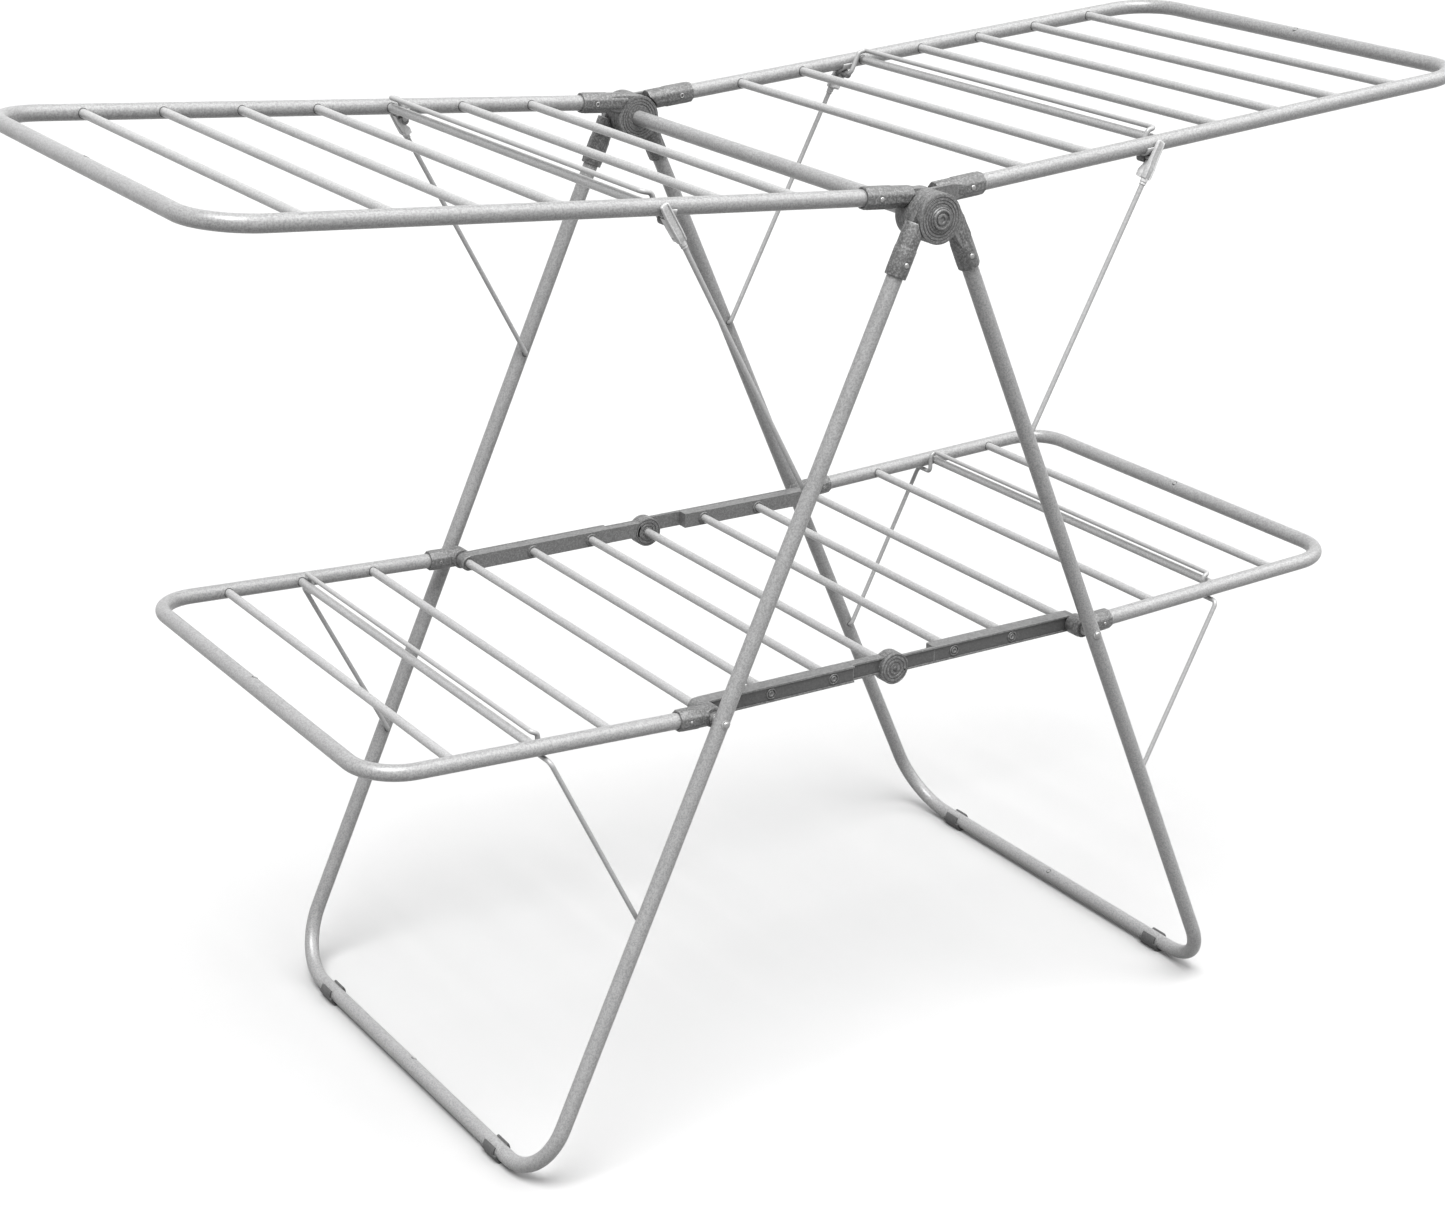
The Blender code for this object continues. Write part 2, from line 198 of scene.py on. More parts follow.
def painted_steel(name, level, speck=0.10, peel=0.5):
    """Powder-coated tube: fine speckle, faint mottling and handling marks, and an orange-peel skin."""
    material, tree, shader = nodes_of(name)
    place = tree.nodes.new("ShaderNodeTexCoord").outputs["Object"]
    cloud = ranged(tree, noise(tree, place, 14.0, 4.0), 0.30, 0.70, 0.0, 1.0)
    colour = blended(tree, cloud, grey(level * 0.955), grey(level * 1.03))
    grain = ranged(tree, noise(tree, place, 560.0, 3.0, 0.8), 0.42, 0.60, 0.0, 1.0)
    colour = blended(tree, product(tree, grain, speck), colour, grey(level * 0.30))
    marks = ranged(tree, noise(tree, place, 210.0, 6.0, 0.8), 0.66, 0.74, 0.0, 0.22)
    colour = blended(tree, marks, colour, grey(level * 0.55))
    tree.links.new(colour, shader.inputs["Base Color"])
    sheen_map = ranged(tree, noise(tree, place, 60.0, 5.0, 0.65), 0.3, 0.7, 0.34, 0.50)
    tree.links.new(sheen_map, shader.inputs["Roughness"])
    shader.inputs["Specular IOR Level"].default_value = 0.5
    shader.inputs["Coat Weight"].default_value = 0.12
    shader.inputs["Coat Roughness"].default_value = 0.22
    bumped(
        tree,
        [
            (noise(tree, place, 420.0, 2.0), 0.00010, peel),
            (noise(tree, place, 1600.0, 1.0), 0.00004, peel),
        ],
        shader,
    )
    return material


def moulded_plastic(name, level, rough=0.5, speck=0.35, grain_depth=0.6):
    """Textured grey plastic: moulding grain, cloudy tone, and edges rubbed a little paler."""
    material, tree, shader = nodes_of(name)
    place = tree.nodes.new("ShaderNodeTexCoord").outputs["Object"]
    cloud = ranged(tree, noise(tree, place, 45.0, 4.0), 0.3, 0.7, 0.0, 1.0)
    colour = blended(tree, cloud, grey(level * 0.88), grey(level * 1.10))
    grain = ranged(tree, noise(tree, place, 480.0, 3.0, 0.8), 0.46, 0.62, 0.0, 1.0)
    colour = blended(tree, product(tree, grain, speck), colour, grey(level * 3.4))
    edge = tree.nodes.new("ShaderNodeNewGeometry").outputs["Pointiness"]
    edge = ranged(tree, edge, 0.515, 0.60, 0.0, 1.0)
    worn = ranged(tree, noise(tree, place, 260.0, 5.0, 0.7), 0.35, 0.65, 0.15, 0.60)
    colour = blended(tree, product(tree, edge, worn), colour, grey(min(level * 2.4, 0.8)))
    tree.links.new(colour, shader.inputs["Base Color"])
    roughness = ranged(tree, noise(tree, place, 120.0, 4.0, 0.65), 0.3, 0.7, rough - 0.08, rough + 0.10)
    tree.links.new(roughness, shader.inputs["Roughness"])
    shader.inputs["Specular IOR Level"].default_value = 0.45
    bumped(
        tree,
        [
            (noise(tree, place, 900.0, 3.0, 0.6), 0.00012, grain_depth),
            (noise(tree, place, 160.0, 2.0), 0.00020, 0.25),
        ],
        shader,
    )
    return material


def bare_steel(name, level, rough=0.3):
    """Zinc-plated steel for rivets and pins: faint fine bumps and small stains."""
    material, tree, shader = nodes_of(name)
    place = tree.nodes.new("ShaderNodeTexCoord").outputs["Object"]
    cloud = ranged(tree, noise(tree, place, 500.0, 4.0, 0.7), 0.35, 0.65, 0.0, 1.0)
    colour = blended(tree, cloud, grey(level * 0.82, 0.01), grey(level * 1.08))
    tree.links.new(colour, shader.inputs["Base Color"])
    roughness = ranged(tree, noise(tree, place, 900.0, 3.0), 0.3, 0.7, rough - 0.08, rough + 0.14)
    tree.links.new(roughness, shader.inputs["Roughness"])
    shader.inputs["Metallic"].default_value = 0.85
    bumped(tree, [(noise(tree, place, 1500.0, 2.0), 0.00003, 0.5)], shader)
    return material


TUBE = painted_steel("tube_paint", 0.142, 0.60)
BAR = painted_steel("bar_paint", 0.180, 0.45)
WIRE = painted_steel("wire_paint", 0.170, 0.30, 0.35)
HUB = moulded_plastic("hub_plastic", 0.032, 0.5, 0.85)
# partly painted shade: a plastic half as light as the hub's, for the sunk arm panels, partly their darker
# plastic and partly painted shade of the recess; also laid as painted shade in the hinge grooves and used
# on the right hinge's rivet dome
PANEL_AND_SHADE = moulded_plastic("panel_and_shade_plastic", 0.016, 0.58, 0.60)
# painted shade: a near-black plastic laid in the disc grooves, round the rail dimples and as thin rings
# where bars, wires and pins enter the tubes, standing in for the shade in those gaps
SHADE = moulded_plastic("painted_shade_plastic", 0.014, 0.62, 0.15)
CLIP = moulded_plastic("clip_plastic", 0.165, 0.42, 0.15, 0.3)
FOOT = moulded_plastic("foot_plastic", 0.020, 0.6, 0.5)
CAP = moulded_plastic("cap_finish", 0.035, 0.40, 0.65, 0.4)
RIVET = bare_steel("rivet_steel", 0.24)


# ---------------------------------------------------------------- mesh making


class Shape:
    """Closed skins gathered for one piece, each with the number of its material."""

    def __init__(self):
        self.points = []
        self.faces = []
        self.paints = []

    def skin(self, rings, paint=0):
        """Joins rings of equally many points, and closes both ends."""
        start = len(self.points)
        count = len(rings[0])
        for ring in rings:
            self.points += ring
        for level in range(len(rings) - 1):
            low = start + level * count
            for step in range(count):
                following = (step + 1) % count
                self.face((low + step, low + following, low + count + following, low + count + step), paint)
        last = start + (len(rings) - 1) * count
        self.face(tuple(range(start, start + count)), paint)
        self.face(tuple(range(last, last + count)), paint)

    def loop_skin(self, rings, paint=0):
        """Joins rings into a closed ring of rings."""
        start = len(self.points)
        count = len(rings[0])
        for ring in rings:
            self.points += ring
        for level in range(len(rings)):
            low = start + level * count
            high = start + (level + 1) % len(rings) * count
            for step in range(count):
                following = (step + 1) % count
                self.face((low + step, low + following, high + following, high + step), paint)

    def face(self, corners, paint):
        self.faces.append(corners)
        self.paints.append(paint)

    def piece(self, name, body, materials, stands_for=()):
        mesh = bpy.data.meshes.new(name)
        mesh.from_pydata([tuple(point) for point in self.points], [], self.faces)
        for material in materials:
            mesh.materials.append(material)
        mesh.polygons.foreach_set("material_index", self.paints)
        shape = bmesh.new()
        shape.from_mesh(mesh)
        bmesh.ops.recalc_face_normals(shape, faces=shape.faces)
        shape.to_mesh(mesh)
        shape.free()
        mesh.polygons.foreach_set("use_smooth", [True] * len(mesh.polygons))
        mesh.set_sharp_from_angle(angle=SHARP_ANGLE)
        obj = bpy.data.objects.new(name, mesh)
        bpy.context.scene.collection.objects.link(obj)
        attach(obj, body)
        if stands_for:
            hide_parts(*stands_for)
        return obj


def swept_rings(path, radius, sides, closed=False):
    """Round sections along a path, carried from point to point without twisting."""
    count = len(path)
    rings = []
    frame_side = None
    for index, point in enumerate(path):
        if closed:
            before, after = path[index - 1], path[(index + 1) % count]
        else:
            before, after = path[max(index - 1, 0)], path[min(index + 1, count - 1)]
        tangent = (after - before).normalized()
        if frame_side is None:
            frame_side = tangent.orthogonal().normalized()
        frame_side = (frame_side - tangent * frame_side.dot(tangent)).normalized()
        up = tangent.cross(frame_side)
        here = radius(index) if callable(radius) else radius
        ring = []
        for step in range(sides):
            angle = 2 * math.pi * step / sides
            ring.append(point + (frame_side * math.cos(angle) + up * math.sin(angle)) * here)
        rings.append(ring)
    return rings


def turned(shape, origin, axis, profile, sides=64, paint=0, closed=False):
    """A shape turned about an axis from (radius, height) pairs; closed joins the last pair to the first."""
    axis = axis.normalized()
    side = axis.orthogonal().normalized()
    up = axis.cross(side)
    rings = []
    for radius, height in profile:
        ring = []
        for step in range(sides):
            angle = 2 * math.pi * step / sides
            ring.append(origin + axis * height + (side * math.cos(angle) + up * math.sin(angle)) * radius)
        rings.append(ring)
    join = shape.loop_skin if closed else shape.skin
    join(rings, paint)


def slab(shape, outline, low_y, high_y, edge=0.0005, paint=0):
    """A prism along Y over (x, z) points, with its long edges chamfered."""
    middle_x = sum(x for x, z in outline) / len(outline)
    middle_z = sum(z for x, z in outline) / len(outline)
    rings = []
    for y, inset in ((low_y, edge), (low_y + edge, 0), (high_y - edge, 0), (high_y, edge)):
        ring = []
        for x, z in outline:
            arm = Vector((x - middle_x, z - middle_z))
            arm *= 1 - inset / max(arm.length, 0.001)
            ring.append(Vector((middle_x + arm.x, y, middle_z + arm.y)))
        rings.append(ring)
    shape.skin(rings, paint)


def arc_at(before, corner, after, radius, steps):
    """The arc that replaces one corner."""
    incoming = (corner - before).normalized()
    outgoing = (after - corner).normalized()
    turn = incoming.angle(outgoing)
    start = corner - incoming * radius * math.tan(turn / 2)
    middle = start + (outgoing - incoming * math.cos(turn)).normalized() * radius
    arm = start - middle
    arc = []
    for step in range(steps + 1):
        angle = turn * step / steps
        arc.append(middle + arm * math.cos(angle) + incoming * radius * math.sin(angle))
    return arc


def rounded_path(corners, radius, steps=16):
    """The corners joined by straight runs, each inner corner replaced by an arc."""
    path = [corners[0]]
    for before, corner, after in zip(corners, corners[1:], corners[2:]):
        path += arc_at(before, corner, after, radius, steps)
    path.append(corners[-1])
    return path


def bent_path(corners, radius, steps=12):
    """As rounded_path, with a tighter arc where the neighbouring corners are near."""
    path = [corners[0]]
    for before, corner, after in zip(corners, corners[1:], corners[2:]):
        turn = (corner - before).angle(after - corner)
        room = 0.48 * min((corner - before).length, (after - corner).length)
        path += arc_at(before, corner, after, min(radius, room / math.tan(turn / 2)), steps)
    path.append(corners[-1])
    return path


def divided(path, longest):
    """The path with points added so that no step is longer than this."""
    result = [path[0]]
    for before, after in zip(path, path[1:]):
        count = max(1, math.ceil((after - before).length / longest))
        for step in range(1, count + 1):
            result.append(before.lerp(after, step / count))
    return result


def leg_point(side, along, y, aside=0.0):
    x = along * math.sin(LEG_TILT) + (LEG_OFFSET + aside) * math.cos(LEG_TILT)
    z = HUB_Z - along * math.cos(LEG_TILT) + (LEG_OFFSET + aside) * math.sin(LEG_TILT)
    return Vector((side * x, y, z))


def wing_point(side, along, y, aside=0.0):
    x = along * math.cos(WING_RISE) - (WING_OFFSET + aside) * math.sin(WING_RISE)
    z = HUB_Z + along * math.sin(WING_RISE) + (WING_OFFSET + aside) * math.cos(WING_RISE)
    return Vector((side * x, y, z))


def lower_point(side, along, y, aside=0.0):
    x = PIVOT_X + along * math.cos(LOWER_RISE) - aside * math.sin(LOWER_RISE)
    z = PIVOT_Z + along * math.sin(LOWER_RISE) + aside * math.cos(LOWER_RISE)
    return Vector((side * x, y, z))


def run_of(place, side):
    return (place(side, 1.0, 0.0) - place(side, 0.0, 0.0)).normalized()


def leg_along(height):
    """How far down the leg its centre line is at this height."""
    return (HUB_Z + LEG_OFFSET * math.sin(LEG_TILT) - height) / math.cos(LEG_TILT)


# ---------------------------------------------------------------- tubes and bars


def u_tube(shape, place, side, start, end, half_width, bend, paint=0):
    corners = [
        place(side, start, -half_width),
        place(side, end, -half_width),
        place(side, end, half_width),
        place(side, start, half_width),
    ]
    path = divided(rounded_path(corners, bend, 20), 0.05)
    shape.skin(swept_rings(path, TUBE_RADIUS, 40), paint)


def saddle_ring(shape, centre, bar_axis, rail_axis, reach, rail_radius, ring_radius, thick, paint):
    """A thin ring in the given paint, laid as painted shade of the gap where a bar enters a round rail;
    centre is on the rail, reach runs towards the bar.
    """
    up = bar_axis.cross(rail_axis).normalized()
    path = []
    for step in range(40):
        angle = 2 * math.pi * step / 40
        aside = ring_radius * math.sin(angle)
        depth = math.sqrt(rail_radius**2 - aside**2)
        path.append(centre + rail_axis * ring_radius * math.cos(angle) + up * aside + reach * depth)
    shape.loop_skin(swept_rings(path, thick, 10, True), paint)


def plug_mark(shape, centre, outward, paint_ring=1, paint_plug=0):
    """A small pressed dimple on the surface of a rail, its rim painted dark as painted shade round the
    dimple.
    """
    at = centre + outward * (TUBE_RADIUS - 0.0006)
    turned(
        shape, at, outward, [(0.0030, 0), (0.0030, 0.00055), (0.0027, 0.0007), (0.0024, 0.00055)], 32,
        paint_ring
    )
    turned(
        shape, at, outward, [(0.0022, 0), (0.0022, 0.0007), (0.0017, 0.0009), (0.0006, 0.0010)], 32,
        paint_plug
    )


def leg_frame(side_name, side):
    shape = Shape()
    u_tube(shape, leg_point, side, LEG_START, LEG_END, LEG_Y, LEG_BEND)
    leg_run = run_of(leg_point, side)
    for end in (-1, 1):
        inward = Vector((0, -end, 0))
        # painted shade: dark rings in the second paint round the wire holes and the pivot hole
        for height in (TOP_HOLE_Z, LOWER_HOLE_Z):
            at = leg_point(side, leg_along(height), end * LEG_Y)
            saddle_ring(shape, at, ACROSS, leg_run, inward, TUBE_RADIUS, WIRE_RADIUS + 0.0004, 0.0004, 1)
        pin_at = Vector((side * PIVOT_X, end * LEG_Y, PIVOT_Z))
        saddle_ring(shape, pin_at, ACROSS, leg_run, inward, TUBE_RADIUS, BAR_RADIUS + 0.0004, 0.0005, 1)
    plug_mark(shape, leg_point(side, LEG_END, 0.0), Vector((-side * 0.5, 0, 0.86)).normalized())
    shape.piece(
        "leg_tube_" + side_name, side_name + "_legs", [TUBE, SHADE],
        ["leg_frame_" + side_name]
    )


def wing_frame(tier, side_name, side):
    place, start, end_along, spots, bend = wing_point, WING_START, WING_END, WING_BARS, WING_BEND
    if tier == "lower":
        place, start, end_along, spots, bend = lower_point, LOWER_START, LOWER_END, LOWER_BARS, LOWER_BEND
    shape = Shape()
    u_tube(shape, place, side, start, end_along, WING_Y, bend)
    run = run_of(place, side)
    # painted shade: a dark ring in the second paint where each crossbar enters the rail
    for along in spots:
        for end in (-1, 1):
            at = place(side, along, end * WING_Y)
            saddle_ring(
                shape, at, ACROSS, run, Vector((0, -end, 0)), TUBE_RADIUS, BAR_RADIUS + 0.0003, 0.00042, 1
            )
    up = run.cross(ACROSS).normalized()
    up = up if up.z > 0 else -up
    plug_mark(shape, place(side, end_along, 0.0), (up * 0.9 - run * 0.43).normalized())
    body = f"{side_name}_{tier}_wing"
    shape.piece(f"{tier}_rail_{side_name}", body, [TUBE, SHADE], [f"{tier}_wing_{side_name}"])
    for index, along in enumerate(spots):
        bar = Shape()
        ends = [place(side, along, -WING_Y + 0.002), place(side, along, WING_Y - 0.002)]
        bar.skin(swept_rings(divided(ends, 0.06), BAR_RADIUS, 32))
        stands_for = [f"top_bar_{side_name}_{index + 1}"] if tier == "top" else []
        bar.piece(f"{tier}_crossbar_{side_name}_{index + 1}", body, [BAR], stands_for)


# ---------------------------------------------------------------- hub


def octagon_pairs(half, softness=30.0, count=64):
    """The (along Y, aside) points of a softly cornered octagon."""
    pairs = []
    for step in range(count):
        angle = 2 * math.pi * step / count
        total = 0.0
        for facet in range(8):
            total += max(0.0, math.cos(angle - facet * math.pi / 4)) ** softness
        radius = half * total ** (-1 / softness)
        pairs.append((radius * math.sin(angle), radius * math.cos(angle)))
    return pairs


def round_ring(place, side, along, centre_y, radius, count=64):
    ring = []
    for step in range(count):
        angle = 2 * math.pi * step / count
        ring.append(place(side, along, centre_y + radius * math.sin(angle), radius * math.cos(angle)))
    return ring


def socket_start(perp, clearance, first):
    """Where a socket may begin, clear of the round disc of the socket beside it."""
    return max(first, math.sqrt(max(clearance**2 - perp**2, 0.0)))


def faceted_sleeve(shape, place, side, spans, centre_y, half, offset=0.0, clearance=0.0):
    """An eight-sided socket round a tube; spans holds where it starts, its shoulder and its mouth."""
    first, shoulder, high = spans

    def start_ring(scale, ahead):
        ring = []
        for point_y, aside in octagon_pairs(half * scale):
            along = socket_start(offset + aside, clearance, first) + ahead
            ring.append(place(side, along, centre_y + point_y, aside))
        return ring

    rings = [start_ring(scale, ahead) for scale, ahead in ((0.04, 0.0), (0.40, 0.0), (0.70, 0.0))]
    rings += [start_ring(scale, ahead) for scale, ahead in ((0.90, 0.0), (0.945, 0.0006), (0.955, 0.0014))]
    for along, scale in (
        (shoulder - 0.0008, 0.955),
        (shoulder + 0.0002, 0.960),
        (shoulder + 0.0012, 0.99),
        (shoulder + 0.0020, 1.0),
        (high - 0.0042, 1.0),
        (high - 0.0038, 0.982),
        (high - 0.0010, 0.982),
        (high - 0.0003, 0.96),
        (high, 0.91),
    ):
        rings.append([place(side, along, centre_y + y, aside) for y, aside in octagon_pairs(half * scale)])
    rings.append(round_ring(place, side, high, centre_y, TUBE_RADIUS + 0.0006))
    rings.append(round_ring(place, side, high - 0.0020, centre_y, TUBE_RADIUS + 0.0005))
    shape.skin(rings)


def ringed_face(height, grooves, depth, centre_radius):
    """The (radius, height) pairs of a face with round grooves, from its rim inwards."""
    rows = []
    for outer, inner in grooves:
        rows += [
            (outer, height), (outer - 0.0003, height - depth), (inner + 0.0003, height - depth),
            (inner, height)
        ]
    rows.append((centre_radius, height))
    return rows


DISC_GROOVES = ((0.0207, 0.0198), (0.0177, 0.0167), (0.0148, 0.0137))


def ringed_disc(shape, origin, axis, radius, thick, grooves, depth=0.0007):
    face = ringed_face(thick, grooves, depth, 0.0020)
    back = [(r, thick - h) for r, h in reversed(face)]
    rim = [(radius - 0.0009, 0.0), (radius - 0.0002, 0.0003), (radius, 0.0010)]
    rim += [(radius, thick - 0.0010), (radius - 0.0002, thick - 0.0003), (radius - 0.0009, thick)]
    turned(shape, origin, axis, back + rim + face, 96)
    # painted shade: a dark strip in the bottom of each groove, in the piece's second paint
    for outer, inner in grooves:
        groove_shade = [(outer - 0.0002, thick - depth - 0.0002), (outer - 0.0002, thick - depth * 0.45)]
        groove_shade += [(inner + 0.0002, thick - depth * 0.45), (inner + 0.0002, thick - depth - 0.0002)]
        turned(shape, origin, axis, groove_shade, 96, 1, closed=True)


RIVET_DOME = [
    (0.0026, -0.0008), (0.0026, 0.0003), (0.0024, 0.0007), (0.0019, 0.0010), (0.0011, 0.0012),
    (0.0004, 0.00125)
]
RIVET_TAIL = [
    (0.0024, -0.0008),
    (0.0027, 0.0002),
    (0.0026, 0.0007),
    (0.0021, 0.0010),
    (0.0016, 0.0008),
    (0.0013, 0.0002),
    (0.0012, -0.0004),
]


def rivet_pair(name, body, at, half, end, size=1.0):
    """A rivet through a sleeve: domed outside the rack, rolled and hollow inside."""
    shape = Shape()
    outward = Vector((0, end, 0))
    turned(
        shape, at + outward * half, outward,
        [(radius * size, height * size) for radius, height in RIVET_DOME], 32
    )
    turned(
        shape, at - outward * half, -outward,
        [(radius * size, height * size) for radius, height in RIVET_TAIL], 32
    )
    shape.piece(name, body, [RIVET])


def neck_outline(place, side, offset):
    """The outline that runs from a hub disc, on its tangent, into the middle facet of its socket."""
    rim = DISC_RADIUS - 0.0003
    corner = Vector((0.0300, offset + 0.0080))
    lean = math.atan2(corner.y, corner.x) + math.acos(rim / corner.length)
    spots = [(rim * math.cos(lean), rim * math.sin(lean)), tuple(corner)]
    spots += [
        (0.0460, offset + 0.0044), (0.0460, offset - 0.0044), (0.0270, offset - 0.0096),
        (0.0, offset - 0.0096)
    ]
    outline = []
    for along, perp in spots:
        point = place(side, along, 0.0, perp - offset)
        outline.append((point.x, point.z))
    return outline


def hub_socket(kind, side_name, side, end_name, end):
    name = f"{kind}_{side_name}_{end_name}"
    place, offset, centre = leg_point, LEG_OFFSET, LEG_Y
    spans, rivet_at, body = (0.0120, 0.0350, 0.0640), 0.0510, side_name + "_legs"
    if kind == "wing":
        place, offset, centre = wing_point, WING_OFFSET, WING_Y
        spans, rivet_at, body = (0.0150, 0.0360, 0.0695), 0.0537, side_name + "_top_wing"
    low, high = DISCS[f"{kind}_{side_name}"]
    shape = Shape()
    ringed_disc(
        shape, Vector((0, end * low, HUB_Z)), Vector((0, end, 0)), DISC_RADIUS, high - low, DISC_GROOVES
    )
    far = min(high - 0.0004, centre + SLEEVE_HALF - 0.0004)
    low_y, high_y = sorted((end * (low + 0.0004), end * far))
    slab(shape, neck_outline(place, side, offset), low_y, high_y, 0.0006)
    faceted_sleeve(shape, place, side, spans, end * centre, SLEEVE_HALF, offset, DISC_RADIUS + 0.0008)
    shape.piece("hub_socket_" + name, body, [HUB, SHADE], ["hub_" + name])
    rivet_pair("hub_rivet_" + name, body, place(side, rivet_at, end * centre), SLEEVE_HALF, end)


def hub_axle():
    shape = Shape()
    path = divided([Vector((0, -0.2893, HUB_Z)), Vector((0, 0.2893, HUB_Z))], 0.06)
    shape.skin(swept_rings(path, TUBE_RADIUS, 40))
    shape.piece("hub_cross_tube", "left_legs", [TUBE], ["hub_axle_tube"])
    for end_name, end in ENDS:
        cap = Shape()
        profile = [
            (0.0060, -0.0150), (0.0062, -0.0002), (0.0115, -0.0002), (0.0115, 0.0006), (0.0111, 0.0011),
            (0.0104, 0.0012), (0.0101, 0.0010), (0.0098, 0.0024), (0.0092, 0.0030), (0.0084, 0.0031),
            (0.0077, 0.0028), (0.0073, 0.0016), (0.0060, 0.0013), (0.0056, 0.0021), (0.0046, 0.0026),
            (0.0032, 0.0024), (0.0028, 0.0014), (0.0016, 0.0013), (0.0005, 0.0013),
        ]
        turned(cap, Vector((0, end * 0.2901, HUB_Z)), Vector((0, end, 0)), profile, 72)
        cap.piece("hub_bolt_" + end_name, "left_legs", [CAP], ["hub_cap_" + end_name])


# ---------------------------------------------------------------- lower tier joints


def connector(side_name, side, end_name, end):
    shape = Shape()
    low = ARM_OUTER + 0.0003
    thick = TEE_END - low
    profile = [
        (0.0050, 0.0012), (0.0088, 0.0), (0.0102, 0.0003), (0.0108, 0.0012), (0.0108, thick - 0.0052),
        (
            0.0102, thick - 0.0046
        ), (0.0102, thick - 0.0012), (0.0096, thick - 0.0003), (0.0086, thick), (0.0062, thick),
        (0.0058, thick - 0.0012),
    ]
    turned(shape, Vector((side * PIVOT_X, end * low, PIVOT_Z)), Vector((0, end, 0)), profile, 64)
    faceted_sleeve(shape, lower_point, side, (0.0040, 0.0130, 0.0370), end * WING_Y, SLEEVE_HALF)
    body = side_name + "_lower_wing"
    name = f"{side_name}_{end_name}"
    shape.piece("tee_" + name, body, [HUB], ["connector_" + name])
    rivet_pair("tee_rivet_" + name, body, lower_point(side, 0.0260, end * WING_Y), SLEEVE_HALF, end, 0.62)


def flat_outline(side, inner_x, outer_x, low, high):
    """An upright rectangle of (x, z) corners, low and high from the pivots' height."""
    return [
        (side * inner_x, PIVOT_Z + low), (side * outer_x, PIVOT_Z + low), (side * outer_x, PIVOT_Z + high),
        (side * inner_x, PIVOT_Z + high)
    ]


def arm_length(shape, side, end, inner_x, outer_x, low, high):
    """A length of arm: a body whose outer face is sunk between two lips, with a darker panel in it whose
    paint is partly darker plastic and partly painted shade of the recess.
    """
    low_y, high_y = sorted((end * low, end * (high - ARM_RECESS)))
    slab(
        shape, flat_outline(side, inner_x, outer_x, -ARM_HALF + 0.0002, ARM_HALF - 0.0002), low_y, high_y,
        0.0004
    )
    low_y, high_y = sorted((end * (high - ARM_RECESS - 0.0010), end * high))
    slab(shape, flat_outline(side, inner_x, outer_x, ARM_HALF - ARM_LIP, ARM_HALF), low_y, high_y, 0.0004)
    slab(shape, flat_outline(side, inner_x, outer_x, -ARM_HALF, ARM_LIP - ARM_HALF), low_y, high_y, 0.0004)
    # the panel: a thin slab in the second paint, partly its darker plastic and partly painted shade of the
    # recess
    low_y, high_y = sorted((end * (high - ARM_RECESS - 0.0004), end * (high - ARM_RECESS + 0.0002)))
    inset = ARM_HALF - ARM_LIP - 0.0002
    slab(
        shape, flat_outline(side, inner_x + 0.0012, outer_x - 0.0012, -inset, inset), low_y, high_y,
        0.0001, 1
    )


BOSS_RING = [
    (0.0056, -0.0006), (0.0056, 0.0008), (0.0052, 0.0012), (0.0046, 0.0012), (0.0043, 0.0002),
    (0.0034, 0.0001)
]
BOSS_END = [
    (0.0034, -0.0006), (0.0034, 0.0007), (0.0029, 0.0012), (0.0020, 0.0012), (0.0015, 0.0005),
    (0.0004, 0.0004)
]
BOSS_BACK = [(0.0068, -0.0030), (0.0068, 0.0012), (0.0063, 0.0017), (0.0050, 0.0017), (0.0049, 0.0002)]


def centre_arm(side_name, side, end_name, end):
    low, high = (ARM_INNER, ARM_SPLIT - 0.0003) if side < 0 else (ARM_SPLIT, ARM_OUTER)
    shape = Shape()
    outward = Vector((0, end, 0))
    arm_length(shape, side, end, 0.0090, ARM_OVERLAP, low, high)
    arm_length(shape, side, end, ARM_OVERLAP - 0.0004, PIVOT_X - 0.0020, ARM_INNER, ARM_OUTER)
    tip = [(0.0050, 0.0008), (ARM_HALF - 0.0012, 0.0), (ARM_HALF, 0.0010), (ARM_HALF, 0.0150)]
    tip += [(ARM_HALF - 0.0012, 0.0160), (0.0050, 0.0152)]
    turned(shape, Vector((side * PIVOT_X, end * ARM_INNER, PIVOT_Z)), outward, tip, 48)
    grooves = ((0.0150, 0.0134), (0.0113, 0.0096), (0.0076, 0.0058))
    ringed_disc(shape, Vector((0, end * low, CENTRE_Z)), outward, HINGE_RADIUS, high - low, grooves, 0.0006)
    if side > 0:
        turned(shape, Vector((0, end * (high - 0.0002), CENTRE_Z)), outward, RIVET_DOME, 32, 1)
    else:
        turned(shape, Vector((0, end * (low + 0.0002), CENTRE_Z)), -outward, RIVET_TAIL, 32, 2)
    for x in ARM_BARS:
        face = Vector((side * x, end * (ARM_OUTER - ARM_RECESS), PIVOT_Z))
        turned(shape, face, outward, BOSS_RING, 40)
        turned(shape, face, outward, BOSS_END, 32)
        turned(shape, Vector((side * x, end * ARM_INNER, PIVOT_Z)), -outward, BOSS_BACK, 40)
    name = f"{side_name}_{end_name}"
    paints = [HUB, PANEL_AND_SHADE, RIVET]
    shape.piece("fold_arm_" + name, side_name + "_centre_arms", paints, ["arm_" + name])


def straight_bar(name, body, x, z, reach, material, stands_for, radius=BAR_RADIUS):
    shape = Shape()
    path = divided([Vector((x, -reach, z)), Vector((x, reach, z))], 0.06)
    shape.skin(swept_rings(path, radius, 32))
    shape.piece(name, body, [material], [stands_for])


